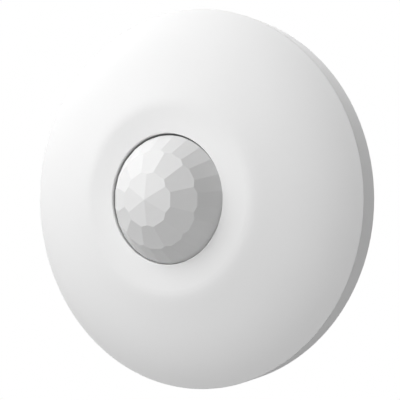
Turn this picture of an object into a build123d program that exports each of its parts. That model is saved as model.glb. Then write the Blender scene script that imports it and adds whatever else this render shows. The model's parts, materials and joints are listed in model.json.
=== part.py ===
from build123d import *
from math import cos, radians, sin
import os

# Ceiling-type passive infrared motion detector.
#
# Everything is built on a bench frame: the mounting face lies in z = 0 with its centre
# at the origin, and the lens points to +z. The last step stands the detector up, so
# that in its own frame the mounting face is the plane y = 0, the lens points to -y and
# +z is up. Lengths are in millimetres and angles in degrees.

# Cover
COVER_R = 60.0          # outer radius of the side band
COVER_WALL = 2.2
FOOT_Z = 0.5            # shadow gap between the cover's foot and the ceiling
RIM_Z = 8.85            # top of the side band, where the domed face starts
BAND_IN_Z = 7.6         # top of the band inside
EDGE_R = 0.35           # rounding of the rim, the foot and the edge of the opening
OPENING_R = 20.15       # opening for the lens
PLATEAU_R = 28.2        # flat round the lens
PLATEAU_Z = 20.4
SEAT_R = 26.5           # flat seat under the face for the lens flange
SEAT_Z = 17.8
TAMPER_POST_AT = (28, -18)
TAMPER_POST_R = 1.6
TAMPER_POST_Z = (11.05, 17.5)
CATCH_ANGLES = (30, 150, 270)
CATCH_HALF_ARC = 6
CATCH_Z = (1.4, 2.6)    # ribs inside the band, behind the noses of the clips
CATCH_DEPTH = 1.0

# Lens
LENS_SPHERE_R = 21.46   # every facet touches this sphere
LENS_CENTRE_Z = 10.2
LENS_WALL = 0.9
LENS_RINGS = ((6, 11.4), (12, 32.3), (24, 53.5))    # facets in the ring, tilt of their normals
COLLAR_R = 19.75        # the outermost facets end here, just below the cover's face
FLANGE_R = 23.5
LENS_AT = (0.2, -0.2)   # the play between collar and opening, taken up to one side
FLANGE_T = 1.2

# Retainer of the lens, held by four self-tapping screws in bosses under the face
RETAINER_T = 1.8
RETAINER_R = 25.5
EAR_PCD_R = 28.5
EAR_R = 3.0
EAR_ANGLES = (45, 135, 225, 315)
EAR_SCREW_R = 0.9
FACE_BOSS_R = 2.8
FACE_BOSS_RISE = 0.8    # how far the bosses and their holes reach above the seat

# Mounting plate
PLATE_R = 53.0
PLATE_T = 1.6
PLATE_CHAMFER = 0.4
SLOT_SPACING = 60.0
SLOT_W = 4.4
SLOT_L = 8.0
RELIEF_R = 34.0         # three curved openings that lighten the plate
RELIEF_HALF_W = 4.0
RELIEF_HALF_ARC = 18
HOOK_R = (47.5, 51.5)
HOOK_ANGLES = (90, 210, 330)
POST_ARC = 6.9          # length of a hook's post, as an angle
TONGUE_ARC = 9.3        # length of its tongue
TONGUE_Z = (3.5, 5.0)
RELEASE_ARC = 10.0      # turn that frees the detector from the plate

# Rear housing
HOUSING_R = 56.4
HOUSING_WALL = 1.8
FLOOR_Z = (1.8, 3.4)
HOUSING_Z = (0.6, 7.4)
BOARD_BOSS_R = 3.0
CLIP_WINDOW_HALF_ARC = 4.2
CLIP_WINDOW_TOP = 5.4
CLIP_T = 0.4
CLIP_W = 7.0

# Circuit board
BOARD_R = 46.0
BOARD_HALF_W = 24.8
BOARD_Z = (5.4, 7.0)
BOARD_SCREWS_AT = [(x, y) for x in (-38, 38) for y in (-16, 16)]
BOARD_SCREW_R = 1.1
BOARD_SCREW_L = 4.2

# Tamper switch that feels the ceiling
WALL_TAMPER_AT = (-20, 0)
STEM_R = 1.8
STEM_GUIDE_R = 1.2
STEM_COLLAR_R = 3.0

# Radial clearances
RUNNING = 0.05          # sliding stems
TIGHT = 0.02            # self-tapping screws and pressed pegs
LOOSE = 0.15            # screws that pass through
ALL_Z = (-5, 45)        # heights beyond both ends of the detector

# Battery bays; the second bay is the first one turned half a turn
CELL_R = 5.25
CELL_L = 44.5
CELL_Y = 32.0
CELL_Z = 9.55
BAY_HALF_L = 24.3
CONTACT_T = 0.4
PEG_R = 1.5
PEG_X = (-15, 15)

TOP = BOARD_Z[1]


# ---- helpers -------------------------------------------------------------------------

def block(x, y, z):
    """Box between the given pairs of coordinates."""
    size = [b - a for a, b in (x, y, z)]
    return Pos(*[(a + b) / 2 for a, b in (x, y, z)]) * Box(*size)


def standing_block(at, size, z0):
    """Box of size (x, y, z) that stands at height z0."""
    return Pos(at[0], at[1], z0 + size[2] / 2) * Box(*size)


def rod(r, z0, z1, at=(0, 0)):
    """Upright cylinder from z0 to z1."""
    return Pos(at[0], at[1], (z0 + z1) / 2) * Cylinder(r, z1 - z0)


def tube(r0, r1, z0, z1, at=(0, 0)):
    return rod(r1, z0, z1, at) - rod(r0, z0 - 1, z1 + 1, at)


def sector(r, a, z):
    """Piece of a ring between two radii, two angles and two heights."""
    middle = Pos((r[0] + r[1]) / 2, (z[0] + z[1]) / 2)
    face = Plane.XZ * middle * Rectangle(r[1] - r[0], z[1] - z[0])
    return Rot(0, 0, a[0]) * revolve(face, Axis.Z, a[1] - a[0])


def polar(r, angle):
    return r * cos(radians(angle)), r * sin(radians(angle))


def turned(outline):
    """Solid of revolution of a closed outline given in radius and height."""
    return revolve(Plane.XZ * make_face(outline), Axis.Z)


def ribbon(points, thickness, width):
    """Bent strip: a path in radius and height, given a thickness and a width."""
    outline = Polyline(*points).offset_2d(thickness / 2, kind=Kind.ARC)
    return extrude(Plane.XZ * make_face(outline), width / 2, both=True)


def coil(r, wire_r, pitch, length):
    """Helical spring about z, with its wire's centre line from z = 0 to the length."""
    path = Helix(pitch, length, r)
    return sweep(Plane(path @ 0, z_dir=path % 0) * Circle(wire_r), path)


def screw(head_r, head_h, shaft_r, shaft_l):
    """Cross-head screw, head up, with the underside of its head in z = 0."""
    head = fillet(rod(head_r, 0, head_h).edges().group_by(Axis.Z)[-1], head_h * 0.4)
    cross = Box(head_r * 1.1, head_r * 0.28, head_h) + Box(head_r * 0.28, head_r * 1.1, head_h)
    return rod(shaft_r, -shaft_l, 0) + head - Pos(0, 0, head_h) * cross


def group(pieces):
    return Compound(children=[solid for piece in pieces for solid in piece.solids()])


# ---- cover and lens ------------------------------------------------------------------

def cover():
    """Domed shell: plateau round the lens, a rounded fall to a crisp rim, a plain band."""
    inner_r = COVER_R - COVER_WALL
    face = Spline(
        (PLATEAU_R, PLATEAU_Z), (33, 19.62), (42, 17.15), (51, 13.85), (COVER_R, RIM_Z),
        tangents=[(1, 0), (1, -0.67)],
    )
    underside = Spline(
        (SEAT_R, SEAT_Z), (33, 17.0), (42, 14.55), (51, 11.3), (inner_r, BAND_IN_Z),
        tangents=[(1, 0), (1, -0.6)],
    )
    shell = turned([
        face,
        Polyline(
            (COVER_R, RIM_Z), (COVER_R, FOOT_Z), (inner_r, FOOT_Z), (inner_r, BAND_IN_Z)
        ),
        underside,
        Polyline(
            (SEAT_R, SEAT_Z), (OPENING_R, SEAT_Z), (OPENING_R, PLATEAU_Z),
            (PLATEAU_R, PLATEAU_Z),
        ),
    ])
    rings = shell.edges().filter_by(GeomType.CIRCLE)
    lip = rings.sort_by(Axis.Z)[-1]
    rim = rings.filter_by(lambda ring: abs(ring.radius - COVER_R) < 0.01)
    shell = fillet([lip] + rim, EDGE_R)
    for angle in EAR_ANGLES:
        at = polar(EAR_PCD_R, angle)
        boss_z = (SEAT_Z - FLANGE_T, SEAT_Z + FACE_BOSS_RISE)
        shell += rod(FACE_BOSS_R, *boss_z, at)
        shell -= rod(EAR_SCREW_R + TIGHT, *boss_z, at)
    shell += rod(TAMPER_POST_R, *TAMPER_POST_Z, TAMPER_POST_AT)
    for angle in CATCH_ANGLES:
        arc = (angle - CATCH_HALF_ARC, angle + CATCH_HALF_ARC)
        shell += sector((inner_r - CATCH_DEPTH, inner_r + COVER_WALL / 2), arc, CATCH_Z)
    return shell


def lens():
    """Faceted dome: each facet is the plane that touches the sphere at the facet's middle."""
    dome = rod(COLLAR_R, SEAT_Z - FLANGE_T, LENS_CENTRE_Z + 1.2 * LENS_SPHERE_R)
    for count, tilt in LENS_RINGS:
        for i in range(count):
            x, y = polar(sin(radians(tilt)), 360 / count * i)
            normal = Vector(x, y, cos(radians(tilt)))
            touch = Vector(0, 0, LENS_CENTRE_Z) + normal * LENS_SPHERE_R
            dome = split(dome, bisect_by=Plane(touch, z_dir=normal), keep=Keep.BOTTOM)
    hollow = Pos(0, 0, LENS_CENTRE_Z) * Sphere(LENS_SPHERE_R - LENS_WALL)
    hollow &= rod(COLLAR_R - LENS_WALL, *ALL_Z)
    flange = rod(FLANGE_R, SEAT_Z - FLANGE_T, SEAT_Z)
    return Pos(*LENS_AT) * (dome + flange - hollow)


def lens_retainer():
    z = (SEAT_Z - FLANGE_T - RETAINER_T, SEAT_Z - FLANGE_T)
    ring = rod(RETAINER_R, *z)
    for angle in EAR_ANGLES:
        ring += rod(EAR_R, *z, polar(EAR_PCD_R, angle))
        ring += Rot(0, 0, angle) * block((FLANGE_R, EAR_PCD_R), (-EAR_R, EAR_R), z)
    for angle in EAR_ANGLES:
        ring -= rod(EAR_SCREW_R + LOOSE, *ALL_Z, polar(EAR_PCD_R, angle))
    return ring - rod(COLLAR_R - LENS_WALL, *ALL_Z)


def retainer_screws():
    under = SEAT_Z - FLANGE_T - RETAINER_T
    return group(
        Pos(*polar(EAR_PCD_R, angle), under) * Rot(180, 0, 0) * screw(1.9, 1.3, EAR_SCREW_R, 3.4)
        for angle in EAR_ANGLES
    )


# ---- mounting plate and rear housing -------------------------------------------------

def arc_slot(r, half_w, a, z):
    """Curved slot with round ends, centred on radius r between two angles."""
    ends = [rod(half_w, z[0], z[1], polar(r, angle)) for angle in a]
    return sector((r - half_w, r + half_w), a, z) + ends


def mounting_plate():
    """Disc with two slotted screw holes and three bayonet hooks, each over its own window."""
    through = (-1, PLATE_T + 1)
    plate = chamfer(rod(PLATE_R, 0, PLATE_T).edges().group_by(Axis.Z)[-1], PLATE_CHAMFER)
    for x in (-SLOT_SPACING / 2, SLOT_SPACING / 2):
        plate -= Pos(x, 0) * extrude(SlotOverall(SLOT_L, SLOT_W), 2 * PLATE_T, both=True)
    plate -= arc_slot(-WALL_TAMPER_AT[0], STEM_R + 0.6, (180, 180 + RELEASE_ARC), through)
    for angle in HOOK_ANGLES:
        tongue = (angle + POST_ARC, angle + POST_ARC + TONGUE_ARC)
        plate -= sector(HOOK_R, tongue, through)
        plate += sector(HOOK_R, (angle, angle + POST_ARC), (PLATE_T, TONGUE_Z[1]))
        plate += sector(HOOK_R, (angle + POST_ARC - 0.5, tongue[1]), TONGUE_Z)
    for angle in CATCH_ANGLES:
        arc = (angle - RELIEF_HALF_ARC, angle + RELIEF_HALF_ARC)
        plate -= arc_slot(RELIEF_R, RELIEF_HALF_W, arc, through)
    return plate


def rear_housing():
    """Tray whose floor is clamped by the plate's hooks and whose wall carries the clips."""
    inner_r = HOUSING_R - HOUSING_WALL
    tray = tube(inner_r, HOUSING_R, *HOUSING_Z) + rod(HOUSING_R, *FLOOR_Z)
    for at in BOARD_SCREWS_AT:
        tray += rod(BOARD_BOSS_R, FLOOR_Z[1], BOARD_Z[0], at)
        tray -= rod(BOARD_SCREW_R + TIGHT, TOP - BOARD_SCREW_L - 0.4, BOARD_Z[0], at)
    through = (FLOOR_Z[0] - 1, FLOOR_Z[1] + 1)
    for angle in HOOK_ANGLES:
        start, end = angle - TONGUE_ARC - 1.0, angle + POST_ARC + 0.3
        tray -= sector((HOOK_R[0] - 0.4, HOOK_R[1] + 0.4), (start, end), through)
    tray += rod(STEM_R + 1.6, FLOOR_Z[1], FLOOR_Z[1] + 0.25, WALL_TAMPER_AT)
    tray -= rod(STEM_R + RUNNING, *ALL_Z, WALL_TAMPER_AT)
    for side in (-1, 1):
        for x in PEG_X:
            tray -= rod(PEG_R + TIGHT, *through, (x, side * CELL_Y))
    for angle in CATCH_ANGLES:
        arc = (angle - CLIP_WINDOW_HALF_ARC, angle + CLIP_WINDOW_HALF_ARC)
        tray -= sector((inner_r - 1, HOUSING_R + 1), arc, (FLOOR_Z[1], CLIP_WINDOW_TOP))
    return tray


def cover_clips():
    """Spring-steel strips: a leg inside the tray's wall and a nose out through its window."""
    leg_r = HOUSING_R - HOUSING_WALL - 0.5
    path = [(leg_r, 7.2), (leg_r, 5.2), (57.1, 4.3), (leg_r, 3.7), (52.6, 3.7)]
    return group(Rot(0, 0, angle) * ribbon(path, CLIP_T, CLIP_W) for angle in CATCH_ANGLES)


# ---- circuit board and sensor --------------------------------------------------------

SENSOR_PINS = [polar(2.54, angle) for angle in (45, 135, 270)]
SENSOR_PIN_R = 0.22
SENSOR_WINDOW = (5.2, 4.2)
CAN_Z = (TOP + 0.4, TOP + 4.4)
CAN_R = 4.15


def circuit_board():
    board = rod(BOARD_R, *BOARD_Z) & block((-50, 50), (-BOARD_HALF_W, BOARD_HALF_W), BOARD_Z)
    for at in BOARD_SCREWS_AT:
        board -= rod(BOARD_SCREW_R + LOOSE, *ALL_Z, at)
    for at in SENSOR_PINS:
        board -= rod(SENSOR_PIN_R + TIGHT, *ALL_Z, at)
    return board - rod(STEM_COLLAR_R + 1.2, *ALL_Z, WALL_TAMPER_AT)


def board_screws():
    fastener = screw(2.1, 1.5, BOARD_SCREW_R, BOARD_SCREW_L)
    return group(Pos(*at, TOP) * fastener for at in BOARD_SCREWS_AT)


def pyro_sensor():
    """Metal can on a wider header, with a rectangular opening for the window."""
    can = rod(CAN_R + 0.45, CAN_Z[0], CAN_Z[0] + 0.5) + rod(CAN_R, *CAN_Z)
    can = fillet(can.edges().group_by(Axis.Z)[-1], 0.4)
    return can - standing_block((0, 0), (*SENSOR_WINDOW, 1), CAN_Z[1] - 0.4)


def sensor_window():
    return standing_block((0, 0), (*SENSOR_WINDOW, 0.35), CAN_Z[1] - 0.4)


def sensor_leads():
    return group(rod(SENSOR_PIN_R, BOARD_Z[0] - 0.8, CAN_Z[0], at) for at in SENSOR_PINS)


def sensor_seal():
    return tube(CAN_R + 0.5, CAN_R + 3.05, TOP, TOP + 2.4)


# ---- tamper switches -----------------------------------------------------------------

def wall_tamper_switch():
    """Housing open below, with room inside for the plunger's collar and its spring."""
    body = standing_block(WALL_TAMPER_AT, (10, 10, 6), TOP)
    return body - rod(STEM_COLLAR_R + 0.2, TOP, 12.3, WALL_TAMPER_AT)


def wall_tamper_plunger():
    """Stem flush with the mounting face, a collar for the spring, and a guide pin above it."""
    stem = rod(STEM_R, 0, 5.2, WALL_TAMPER_AT)
    stem += rod(STEM_COLLAR_R, 5.2, 6.2, WALL_TAMPER_AT)
    return stem + rod(STEM_GUIDE_R, 6.2, 11.0, WALL_TAMPER_AT)


def wall_tamper_spring():
    return Pos(*WALL_TAMPER_AT, 6.5) * coil(2.5, 0.25, 1.1, 5.5)


def cover_tamper_switch():
    body = standing_block(TAMPER_POST_AT, (6, 6, 3.4), TOP)
    return body - rod(TAMPER_POST_R + RUNNING, 8.4, 12, TAMPER_POST_AT)


def cover_tamper_plunger():
    """Its end stays just clear of the post inside the cover."""
    return rod(TAMPER_POST_R, 8.5, TAMPER_POST_Z[0] - RUNNING, TAMPER_POST_AT)


# ---- controls for the installer ------------------------------------------------------

LEARN_AT = (-10, -18)
BUTTON_R = 1.7
POWER_AT = (8, -20)
DIP_AT = (-11, 18)
DIP_PITCH = 2.54


def learn_switch():
    body = standing_block(LEARN_AT, (6, 6, 3.4), TOP)
    return body - rod(BUTTON_R + RUNNING, 8.9, 12, LEARN_AT)


def learn_button():
    cap = rod(BUTTON_R, 9.3, 11.6, LEARN_AT)
    return fillet(cap.edges().group_by(Axis.Z)[-1], 0.3)


def power_switch():
    body = standing_block(POWER_AT, (8.6, 3.7, 3.5), TOP)
    return body - standing_block(POWER_AT, (4.2, 1.6, 3), 9.0)


def power_slider():
    x, y = POWER_AT
    return block((x - 2.0, x), (y - 0.75, y + 0.75), (9.1, 12.0))


def dip_switch():
    body = standing_block(DIP_AT, (5.2, 6.2, 2.6), TOP)
    for x in (-DIP_PITCH / 2, DIP_PITCH / 2):
        body -= standing_block((DIP_AT[0] + x, DIP_AT[1]), (1.0, 2.6, 3), 8.4)
    return body


def dip_slider(side):
    x, y = DIP_AT[0] + side * DIP_PITCH / 2, DIP_AT[1]
    return block((x - 0.45, x + 0.45), (y - 1.25, y - 0.05), (8.5, 9.9))


# ---- batteries -----------------------------------------------------------------------

def bay(piece, turned_over):
    """Put a bay's piece, built along x about the origin, in the upper or the lower bay."""
    upper = Pos(0, CELL_Y, 0) * piece
    return Rot(0, 0, 180) * upper if turned_over else upper


def battery_holder():
    """Open tray with low side walls, full end walls and two pegs for the housing's floor."""
    end_l, side = 1.5, (5.45, 6.65)
    outer_l = BAY_HALF_L + end_l
    tray = block((-outer_l, outer_l), (-side[1], side[1]), (FLOOR_Z[1], CELL_Z - CELL_R))
    for sign in (-1, 1):
        x = sorted((sign * BAY_HALF_L, sign * outer_l))
        tray += block(x, (-side[1], side[1]), (FLOOR_Z[1], 11.4))
        tray += block((-19, 19), sorted((sign * side[0], sign * side[1])), (FLOOR_Z[1], 8.5))
    for x in PEG_X:
        tray += rod(PEG_R, FLOOR_Z[0] + 0.1, FLOOR_Z[1], (x, 0))
    return tray


def battery():
    """AAA cell lying along x with its positive nub at the +x end of the bay."""
    nub_l = 1.0
    end_x = BAY_HALF_L - CONTACT_T
    can = Rot(0, 90, 0) * Cylinder(CELL_R, CELL_L - nub_l)
    can = fillet(can.edges(), 0.4)
    nub = Rot(0, 90, 0) * Cylinder(1.9, nub_l + 0.5)
    can = Pos(end_x - nub_l - (CELL_L - nub_l) / 2, 0, CELL_Z) * can
    return can + Pos(end_x - (nub_l + 0.5) / 2, 0, CELL_Z) * nub


def contact_plate(x, tab_side):
    """Contact with a solder tab that reaches over the edge of the circuit board."""
    plate = block(x, (-5.0, 5.0), (4.5, 12.6))
    tab_x = (x[1] - 1.8, x[1]) if tab_side > 0 else (x[0], x[0] + 1.8)
    return plate + block(tab_x, (-9.2, -4.9), (TOP, TOP + CONTACT_T))


def positive_contact():
    return contact_plate((BAY_HALF_L - CONTACT_T, BAY_HALF_L), 1)


def negative_spring():
    plate_x = (-BAY_HALF_L, -BAY_HALF_L + CONTACT_T)
    spring = Pos(plate_x[1] + 0.25, 0, CELL_Z) * Rot(0, 90, 0) * coil(3.2, 0.35, 1.2, 2.6)
    return contact_plate(plate_x, -1) + spring


# ---- other components on the board ---------------------------------------------------

MCU_AT = (15, 13)
RADIO_AT = (29, 4)
ANTENNA_X = 41.0
HEADER_AT = (-26, -20)
PIN_PITCH = 2.54
HEADER_PINS = [(HEADER_AT[0] + PIN_PITCH * i, HEADER_AT[1]) for i in range(-2, 3)]


def radio_module():
    return standing_block(RADIO_AT, (14, 14, 0.8), TOP)


def radio_shield():
    outer = standing_block(RADIO_AT, (11, 10, 2.2), TOP + 0.8)
    outer = fillet(outer.edges().filter_by(Axis.Z), 0.6)
    return outer - standing_block(RADIO_AT, (10.4, 9.4, 1.9), TOP + 0.8)


def antenna():
    """Helical aerial lying along y, with the soldered foot that its first turn rests on."""
    r, wire_r, start_y, axis_z = 2.2, 0.35, -3.0, 10.2
    lying = Rot(-90, 0, 0) * Rot(0, 0, 90) * coil(r, wire_r, 1.4, 10.5)
    foot = rod(2 * wire_r, TOP, axis_z - r - wire_r - 0.05, (ANTENNA_X, start_y + 0.4))
    return group([Pos(ANTENNA_X, start_y, axis_z) * lying, foot])


def microcontroller():
    body = standing_block(MCU_AT, (7, 7, 1.1), TOP + 0.15)
    return body - rod(0.4, 8.1, 9, (MCU_AT[0] - 2.5, MCU_AT[1] + 2.5))


def microcontroller_pins():
    """Gull-wing pins along all four sides of the package."""
    path = [(3.6, TOP + 0.7), (4.1, TOP + 0.7), (4.3, TOP + 0.08), (4.9, TOP + 0.08)]
    pins = []
    for side in range(4):
        for i in range(8):
            pin = Pos(0, 0.8 * (i - 3.5), 0) * ribbon(path, 0.15, 0.35)
            pins.append(Pos(*MCU_AT, 0) * Rot(0, 0, 90 * side) * pin)
    return group(pins)


def capacitors():
    """Aluminium electrolytic cans."""
    spots = [(-32, 9), (-32, -9), (24, 19)]
    return group(fillet(rod(2.5, TOP, TOP + 5.4, at).edges(), 0.3) for at in spots)


def crystal():
    return fillet(standing_block((15, 3), (9.6, 4.2, 3.4), TOP).edges().filter_by(Axis.Z), 2.0)


def chip_row(start, step, count, size):
    spots = [(start[0] + step[0] * i, start[1] + step[1] * i) for i in range(count)]
    return [standing_block(at, size, TOP) for at in spots]


def resistors():
    rows = chip_row((8, 22.2), (3, 0), 5, (2.0, 1.25, 0.5))
    rows += chip_row((-4, -13), (0, -2.4), 4, (2.0, 1.25, 0.5))
    return group(rows + chip_row((12, -12), (3, 0), 5, (1.25, 2.0, 0.5)))


def ceramic_capacitors():
    rows = chip_row((-3, 13), (0, 2.4), 4, (2.0, 1.25, 0.85))
    return group(rows + chip_row((12, -7.5), (3, 0), 4, (1.25, 2.0, 0.85)))


def status_leds():
    return group(standing_block(at, (3.2, 1.6, 1.3), TOP) for at in ((4, 10), (-7, -10)))


def program_header():
    body = standing_block(HEADER_AT, (PIN_PITCH * 5, 2.5, 2.5), TOP)
    for at in HEADER_PINS:
        body -= standing_block(at, (0.64, 0.64, 4), TOP - 0.5)
    return body


def header_pins():
    return group(standing_block(at, (0.64, 0.64, 5), TOP) for at in HEADER_PINS)


# ---- export --------------------------------------------------------------------------

NODES = {
    "cover": cover(),
    "lens": lens(),
    "lens_retainer": lens_retainer(),
    "retainer_screws": retainer_screws(),
    "mounting_plate": mounting_plate(),
    "rear_housing": rear_housing(),
    "cover_clips": cover_clips(),
    "circuit_board": circuit_board(),
    "board_screws": board_screws(),
    "pyro_sensor": pyro_sensor(),
    "sensor_window": sensor_window(),
    "sensor_leads": sensor_leads(),
    "sensor_seal": sensor_seal(),
    "wall_tamper_switch": wall_tamper_switch(),
    "wall_tamper_plunger": wall_tamper_plunger(),
    "wall_tamper_spring": wall_tamper_spring(),
    "cover_tamper_switch": cover_tamper_switch(),
    "cover_tamper_plunger": cover_tamper_plunger(),
    "learn_switch": learn_switch(),
    "learn_button": learn_button(),
    "power_switch": power_switch(),
    "power_slider": power_slider(),
    "dip_switch": dip_switch(),
    "dip_slider_1": dip_slider(-1),
    "dip_slider_2": dip_slider(1),
    "battery_holder_upper": bay(battery_holder(), False),
    "battery_holder_lower": bay(battery_holder(), True),
    "battery_upper": bay(battery(), False),
    "battery_lower": bay(battery(), True),
    "battery_contacts": group(bay(positive_contact(), side) for side in (False, True)),
    "battery_springs": group(bay(negative_spring(), side) for side in (False, True)),
    "radio_module": radio_module(),
    "radio_shield": radio_shield(),
    "antenna": antenna(),
    "microcontroller": microcontroller(),
    "microcontroller_pins": microcontroller_pins(),
    "capacitors": capacitors(),
    "crystal": crystal(),
    "resistors": resistors(),
    "ceramic_capacitors": ceramic_capacitors(),
    "status_leds": status_leds(),
    "program_header": program_header(),
    "header_pins": header_pins(),
}

os.makedirs("parts", exist_ok=True)
for name, shape in NODES.items():
    export_step(Rot(90, 0, 0) * shape, f"parts/{name}.step")
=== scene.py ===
import json
from math import cos, radians, sin

import bmesh
import bpy
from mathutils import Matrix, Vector


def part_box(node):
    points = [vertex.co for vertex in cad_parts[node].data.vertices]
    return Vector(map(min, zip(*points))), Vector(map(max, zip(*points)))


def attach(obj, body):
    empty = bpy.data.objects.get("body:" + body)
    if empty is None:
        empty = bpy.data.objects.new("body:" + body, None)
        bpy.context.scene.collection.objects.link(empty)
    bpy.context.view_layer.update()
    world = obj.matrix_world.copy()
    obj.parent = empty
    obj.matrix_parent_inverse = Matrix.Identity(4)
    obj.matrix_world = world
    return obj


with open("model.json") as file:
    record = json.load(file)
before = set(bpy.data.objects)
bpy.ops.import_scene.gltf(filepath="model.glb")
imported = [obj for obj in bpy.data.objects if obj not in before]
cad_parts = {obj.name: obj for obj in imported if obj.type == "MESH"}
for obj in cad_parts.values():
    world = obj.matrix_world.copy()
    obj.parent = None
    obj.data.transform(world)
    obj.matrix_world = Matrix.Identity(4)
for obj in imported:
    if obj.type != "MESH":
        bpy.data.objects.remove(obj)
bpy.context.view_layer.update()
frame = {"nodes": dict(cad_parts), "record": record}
MM = 0.001


# ---- node helpers --------------------------------------------------------------------

class Graph:
    """A material's or the world's node tree, with short calls to add and join nodes."""

    def __init__(self, tree):
        self.tree = tree
        tree.nodes.clear()

    def add(self, kind, settings=None, **inputs):
        """Add a node. Inputs are values or output sockets, named with _ for a space."""
        node = self.tree.nodes.new(kind)
        for key, value in (settings or {}).items():
            setattr(node, key, value)
        for key, value in inputs.items():
            self.feed(node.inputs[key.replace("_", " ")], value)
        return node

    def feed(self, socket, value):
        if isinstance(value, bpy.types.NodeSocket):
            self.tree.links.new(value, socket)
        else:
            socket.default_value = value

    def math(self, operation, *values):
        node = self.tree.nodes.new("ShaderNodeMath")
        node.operation = operation
        for socket, value in zip(node.inputs, values):
            self.feed(socket, value)
        return node.outputs[0]

    def mix(self, factor, a, b):
        """Colour a where the factor is 0 and b where it is 1."""
        node = self.tree.nodes.new("ShaderNodeMix")
        node.data_type = "RGBA"
        for index, value in ((0, factor), (6, a), (7, b)):
            self.feed(node.inputs[index], value)
        return node.outputs[2]

    def place(self):
        return self.add("ShaderNodeTexCoord").outputs["Object"]

    def noise(self, size_mm, detail=2.0):
        """Noise from 0 to 1 whose blotches are about size_mm across."""
        scale = 1 / (size_mm * MM)
        node = self.add("ShaderNodeTexNoise", Vector=self.place(), Scale=scale, Detail=detail)
        return node.outputs["Fac"]

    def split(self, vector):
        return self.add("ShaderNodeSeparateXYZ", Vector=vector).outputs

    def vector(self, operation, *values):
        node = self.tree.nodes.new("ShaderNodeVectorMath")
        node.operation = operation
        for socket, value in zip(node.inputs, values):
            self.feed(socket, value)
        return node.outputs["Vector"]

    def flip(self, value):
        return self.math("SUBTRACT", 1.0, value)

    def ramp(self, value, low, high):
        """Value mapped from 0..1 to low..high."""
        node = self.add("ShaderNodeMapRange", Value=value, To_Min=low, To_Max=high)
        return node.outputs["Result"]

    def bump(self, height, depth_mm, strength=1.0):
        node = self.add("ShaderNodeBump", Height=height, Distance=depth_mm * MM, Strength=strength)
        return node.outputs["Normal"]


def new_material(name, build):
    """Material whose Principled inputs come from build(graph)."""
    made = bpy.data.materials.new(name)
    made.use_nodes = True
    graph = Graph(made.node_tree)
    shader = graph.add("ShaderNodeBsdfPrincipled", **build(graph))
    graph.add("ShaderNodeOutputMaterial", Surface=shader.outputs[0])
    return made


def grey(value, alpha=1.0):
    return (value, value, value, alpha)


# ---- materials -----------------------------------------------------------------------

def white_abs(g):
    """Moulded white plastic with a fine matt grain."""
    cloud = g.noise(18)
    grain = g.noise(0.35)
    return {
        "Base_Color": g.mix(cloud, grey(0.79), grey(0.81)),
        "Roughness": g.ramp(grain, 0.55, 0.66),
        "Specular_IOR_Level": 0.25,
        "Normal": g.bump(grain, 0.006),
    }


def lens_pe(g):
    """Milky polyethylene: a little light goes through it.

    The collar and the flange, below the cover's face, are painted dark grey: painted shade of the
    deep gap round the lens, where little light reaches.
    """
    face_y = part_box("cover")[0].y
    # painted shade: from just below the cover's face down, the lens is painted dark grey, standing
    # for the shadow in the gap between lens and cover
    painted_gap_shade = g.add("ShaderNodeMapRange", {"interpolation_type": "SMOOTHSTEP"},
                 Value=g.split(g.place())[1],
                 From_Min=face_y + 0.6 * MM,
                 From_Max=face_y + 1.5 * MM)
    milky = g.mix(g.noise(9), grey(0.71), grey(0.73))
    return {
        # milky lens colour, turned to grey 0.35 by the painted gap shade below the cover's face
        "Base_Color": g.mix(painted_gap_shade.outputs["Result"], milky, grey(0.35)),
        "Roughness": g.ramp(g.noise(0.5), 0.42, 0.5),
        "Specular_IOR_Level": 0.3,
        "Subsurface_Weight": 0.1,
        "Subsurface_Radius": (1.0, 1.0, 1.0),
        "Subsurface_Scale": 0.0006,
    }


def solder_mask(g):
    """Green mask over copper: short runs of parallel tracks, with plated vias between.

    The board is divided into square patches. A patch's random values choose which way its
    tracks run and whether it has any.
    """
    patch, pitch, track_share = 6.5 * MM, 0.95 * MM, 0.42
    via_gap, via_reach = 4.6 * MM, 0.085
    x, _, z = g.split(g.place())
    cell = g.vector("SNAP", g.place(), (patch, 1.0, patch))
    dice = g.add("ShaderNodeTexWhiteNoise", Vector=cell)
    across = g.math("GREATER_THAN", dice.outputs["Value"], 0.5)
    along = g.math("ADD", g.math("MULTIPLY", x, across), g.math("MULTIPLY", z, g.flip(across)))
    track = g.math("LESS_THAN", g.math("FRACT", g.math("DIVIDE", along, pitch)), track_share)
    busy = g.math("GREATER_THAN", g.split(dice.outputs["Color"])[1], 0.35)
    track = g.math("MULTIPLY", track, busy)
    dots = g.add("ShaderNodeTexVoronoi", Vector=g.place(), Scale=1 / via_gap, Randomness=0.9)
    via = g.math("LESS_THAN", dots.outputs["Distance"], via_reach)
    green = g.mix(track, (0.006, 0.06, 0.022, 1), (0.016, 0.115, 0.042, 1))
    return {
        "Base_Color": g.mix(via, green, (0.55, 0.55, 0.5, 1)),
        "Metallic": via,
        "Roughness": g.ramp(g.noise(1.5), 0.24, 0.34),
        "Normal": g.bump(track, 0.03, 0.5),
    }


def cell_wrap(g):
    """Printed sleeve in two colours that leaves both metal ends of the cell bare."""
    join, half_line = 9.5 * MM, 0.25 * MM       # where the sleeve changes colour
    positive_end, negative_end = 22.3 * MM, -19.9 * MM
    x, _, z = g.split(g.place())
    along = g.math("MULTIPLY", x, g.math("SIGN", z))       # towards the positive end
    collar = g.math("GREATER_THAN", along, join)
    line = g.math("COMPARE", along, join, half_line)
    bare = g.math("MAXIMUM", g.math("GREATER_THAN", along, positive_end),
                  g.math("LESS_THAN", along, negative_end))
    sleeve = g.mix(collar, (0.03, 0.09, 0.13, 1), (0.42, 0.44, 0.45, 1))
    sleeve = g.mix(line, sleeve, grey(0.6))
    return {
        "Base_Color": g.mix(bare, sleeve, grey(0.62)),
        "Metallic": g.math("MAXIMUM", bare, g.math("MULTIPLY", collar, 0.7)),
        "Roughness": g.ramp(g.noise(2.5), 0.26, 0.36),
        "Normal": g.bump(g.noise(0.5), 0.004),
    }


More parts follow.
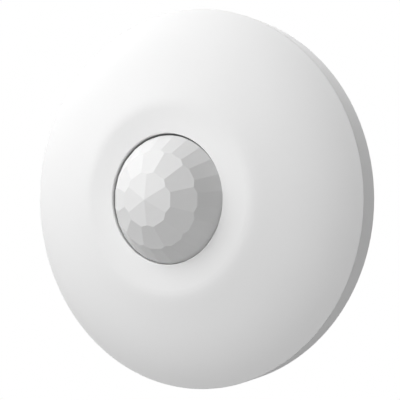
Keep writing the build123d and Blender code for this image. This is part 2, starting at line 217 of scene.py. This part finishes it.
def can_sleeve(g):
    """Electrolytic can: bare aluminium end, dark sleeve with a pale polarity stripe."""
    sleeve_end_y = -12.0 * MM
    normal = g.add("ShaderNodeNewGeometry").outputs["Normal"]
    end = g.math("LESS_THAN", g.split(g.place())[1], sleeve_end_y)
    stripe = g.math("GREATER_THAN", g.split(normal)[0], 0.85)
    wrap = g.mix(stripe, (0.015, 0.02, 0.05, 1), grey(0.55))
    return {
        "Base_Color": g.mix(end, wrap, grey(0.7)),
        "Metallic": end,
        "Roughness": g.ramp(g.noise(0.6), 0.25, 0.38),
        "Normal": g.bump(g.noise(0.4), 0.008, 0.6),
    }


def brushed(color, rough):
    """Builder of rolled or drawn metal with fine scratches along x."""
    def build(g):
        stretched = g.vector("MULTIPLY", g.place(), (0.08, 1.0, 1.0))
        scratch = g.add("ShaderNodeTexNoise", Vector=stretched, Scale=1 / (0.25 * MM), Detail=3.0)
        lines = scratch.outputs["Fac"]
        return {
            "Base_Color": g.mix(g.noise(3), tuple(c * 0.88 for c in color) + (1,), (*color, 1)),
            "Roughness": g.ramp(lines, rough - 0.08, rough + 0.1),
            "Metallic": 1.0,
            "Normal": g.bump(lines, 0.004, 0.6),
        }
    return build


def plain(color, rough, grain_mm=0.4, depth_mm=0.01):
    """Builder of a moulded finish with a fine grain."""
    def build(g):
        grain = g.noise(grain_mm)
        return {
            "Base_Color": g.mix(g.noise(6 * grain_mm), tuple(c * 0.85 for c in color) + (1,),
                                (*color, 1)),
            "Roughness": g.ramp(grain, rough - 0.06, rough + 0.06),
            "Normal": g.bump(grain, depth_mm, 0.6),
        }
    return build


FINISHES = {
    "white_abs": white_abs,
    "lens_pe": lens_pe,
    "grey_abs": plain((0.62, 0.62, 0.61), 0.55),
    "black_plastic": plain((0.022, 0.022, 0.025), 0.45),
    "solder_mask": solder_mask,
    "steel": brushed((0.62, 0.62, 0.62), 0.3),
    "nickel": brushed((0.68, 0.66, 0.62), 0.28),
    "tin": brushed((0.75, 0.75, 0.75), 0.35),
    "filter_glass": plain((0.03, 0.02, 0.035), 0.12),
    "foam": plain((0.03, 0.03, 0.03), 0.95, 0.5, 0.2),
    "cell_wrap": cell_wrap,
    "brass": brushed((0.78, 0.6, 0.28), 0.3),
    "chip_ceramic": plain((0.4, 0.3, 0.2), 0.5),
    "chip_black": plain((0.02, 0.02, 0.022), 0.4),
    "led_lens": plain((0.7, 0.7, 0.6), 0.2),
    "button_white": plain((0.75, 0.75, 0.72), 0.45),
    "copper": brushed((0.75, 0.36, 0.2), 0.3),
}
MADE = {name: new_material(name, build) for name, build in FINISHES.items()}
CAN_SLEEVE = new_material("can_sleeve", can_sleeve)


def paint_nodes():
    """Give each CAD piece the finish of its material slot, and the cans their sleeve."""
    for part in frame["record"]["subparts"]:
        mesh = frame["nodes"][part["node"]].data
        mesh.materials.clear()
        mesh.materials.append(MADE[part["material_slot"]])
    frame["nodes"]["capacitors"].data.materials[0] = CAN_SLEEVE


# ---- small details on the circuit board ----------------------------------------------

BOARD_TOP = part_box("circuit_board")[0].y


def tapered(foot, top, y0, y1):
    """Corners of a block whose foot rectangle (x0, x1, z0, z1) narrows to its top one."""
    return [
        (x, y, z)
        for (x0, x1, z0, z1), y in ((foot, y0), (top, y1))
        for x, z in ((x0, z0), (x1, z0), (x1, z1), (x0, z1))
    ]


BLOCK_FACES = ((3, 2, 1, 0), (4, 5, 6, 7), (0, 1, 5, 4), (1, 2, 6, 5), (2, 3, 7, 6), (3, 0, 4, 7))


def add_blocks(name, blocks, slot_name):
    """One mesh of many eight-cornered blocks, riding on the detector."""
    points = [corner for block in blocks for corner in block]
    faces = [
        tuple(8 * index + corner for corner in face)
        for index in range(len(blocks)) for face in BLOCK_FACES
    ]
    mesh = bpy.data.meshes.new(name)
    mesh.from_pydata(points, [], faces)
    mesh.materials.append(MADE[slot_name])
    made = bpy.data.objects.new(name, mesh)
    bpy.context.scene.collection.objects.link(made)
    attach(made, "detector")


def islands(node):
    """(lowest, highest) corner of each separate solid in a CAD node."""
    work = bmesh.new()
    work.from_mesh(frame["nodes"][node].data)
    bmesh.ops.remove_doubles(work, verts=work.verts, dist=1e-7)
    left, boxes = set(work.verts), []
    while left:
        stack, found = [left.pop()], []
        while stack:
            vertex = stack.pop()
            found.append(vertex.co.copy())
            near = {edge.other_vert(vertex) for edge in vertex.link_edges} & left
            left -= near
            stack += near
        boxes.append([[pick(point[axis] for point in found) for axis in range(3)]
                      for pick in (min, max)])
    work.free()
    return sorted(boxes)


def strip(a, b, side, long_x):
    """(x0, x1, z0, z1) of a strip from a to b along a component, as wide as side."""
    ends = sorted((a, b))
    return (*ends, *side) if long_x else (*side, *ends)


def terminations():
    """Tinned end caps with a solder fillet on both ends of every chip component."""
    skin, cap, run, rise = 0.03 * MM, 0.4 * MM, 0.45 * MM, 0.35 * MM
    blocks = []
    for node in ("resistors", "ceramic_capacitors"):
        for low, high in islands(node):
            long_x = high[0] - low[0] > high[2] - low[2]
            along, across = (0, 2) if long_x else (2, 0)
            side = (low[across] - skin, high[across] + skin)
            for sign, end in ((-1, low[along]), (1, high[along])):
                inside = end - sign * cap
                band = strip(inside, end + sign * skin, side, long_x)
                foot = strip(inside, end + sign * run, side, long_x)
                blocks.append(tapered(band, band, BOARD_TOP, low[1] - skin))
                blocks.append(tapered(foot, band, BOARD_TOP, BOARD_TOP - rise))
    add_blocks("terminations", blocks, "tin")


def silk_frames():
    """White outlines printed round the larger components."""
    gap, line, thick = 0.5 * MM, 0.18 * MM, 0.02 * MM
    blocks = []
    for node in ("learn_switch", "power_switch", "dip_switch", "crystal", "program_header",
                 "cover_tamper_switch", "wall_tamper_switch", "radio_module"):
        low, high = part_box(node)
        x0, x1, z0, z1 = low.x - gap, high.x + gap, low.z - gap, high.z + gap
        for foot in ((x0, x1, z0, z0 + line), (x0, x1, z1 - line, z1),
                     (x0, x0 + line, z0, z1), (x1 - line, x1, z0, z1)):
            blocks.append(tapered(foot, foot, BOARD_TOP, BOARD_TOP - thick))
    add_blocks("silk_frames", blocks, "button_white")


# ---- studio --------------------------------------------------------------------------

# Soft boxes of the room: direction from the detector, brightness and tightness.
# The azimuth is measured from -Y towards +X, in degrees.
SOFT_BOXES = {
    "key, upper left in front": (-30, 30, 4.8, 8),
    "key's wing, further left": (-60, 30, 1.75, 8),
    "behind": (180, 20, 2.75, 8),
    "above, behind": (180, 60, 2.0, 8),
    "low on the right": (80, -50, 2.1, 8),
}
AMBIENT = 0.02


def direction(azimuth, elevation):
    turn, rise = radians(azimuth), radians(elevation)
    return Vector((sin(turn) * cos(rise), -cos(turn) * cos(rise), sin(rise)))


def studio_world():
    """White to the camera; to everything else a dim room with large soft boxes."""
    world = bpy.data.worlds.new("studio")
    bpy.context.scene.world = world
    world.use_nodes = True
    g = Graph(world.node_tree)
    ray = g.add("ShaderNodeNewGeometry").outputs["Incoming"]
    level = AMBIENT
    for azimuth, elevation, bright, tight in SOFT_BOXES.values():
        facing = g.add("ShaderNodeVectorMath", {"operation": "DOT_PRODUCT"})
        g.feed(facing.inputs[0], ray)
        facing.inputs[1].default_value = -direction(azimuth, elevation)
        lobe = g.math("POWER", g.math("MAXIMUM", facing.outputs["Value"], 0.0), tight)
        level = g.math("MULTIPLY_ADD", lobe, bright, level)
    room = g.add("ShaderNodeBackground", Color=grey(1.0), Strength=level)
    white = g.add("ShaderNodeBackground", Color=grey(1.0), Strength=1.0)
    mix = g.add("ShaderNodeMixShader")
    seen = g.add("ShaderNodeLightPath").outputs["Is Camera Ray"]
    for index, value in enumerate((seen, room.outputs[0], white.outputs[0])):
        g.feed(mix.inputs[index], value)
    g.add("ShaderNodeOutputWorld", Surface=mix.outputs[0])


FLOOR_SIZE = 40
FLOOR_Z = -0.35


def floor():
    """Plain white floor, well below the detector, which hangs on its mounting face."""
    bpy.ops.mesh.primitive_plane_add(size=FLOOR_SIZE, location=(0, 0, FLOOR_Z))
    plane = bpy.context.object
    plane.name = "floor"
    made = bpy.data.materials.new("floor_paper")
    made.use_nodes = True
    g = Graph(made.node_tree)
    white = g.add("ShaderNodeEmission", Color=grey(1.0), Strength=1.0)
    g.add("ShaderNodeOutputMaterial", Surface=white.outputs[0])
    plane.data.materials.append(made)
    plane.visible_diffuse = plane.visible_glossy = plane.visible_shadow = False


# ---- camera --------------------------------------------------------------------------

AZIMUTH = 31.13
DISTANCE = 306.8 * MM
AIM_RIGHT = 0.38 * MM
AIM_UP = -0.31 * MM


def camera():
    """Level long-lens view from the detector's right, aimed at the foot of the cover."""
    turn = radians(AZIMUTH)
    out = Vector((sin(turn), -cos(turn), 0))
    right = Vector((cos(turn), sin(turn), 0))
    foot = Vector((0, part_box("cover")[1].y, 0))
    data = bpy.data.cameras.new("camera")
    data.lens = 85
    data.sensor_width = 36
    data.clip_start = 0.01
    made = bpy.data.objects.new("camera", data)
    made.location = foot + out * DISTANCE + right * AIM_RIGHT + Vector((0, 0, AIM_UP))
    made.rotation_euler = (radians(90), 0, turn)
    bpy.context.scene.collection.objects.link(made)
    bpy.context.scene.camera = made


bpy.context.scene.view_settings.view_transform = "Standard"
paint_nodes()
terminations()
silk_frames()
studio_world()
floor()
camera()
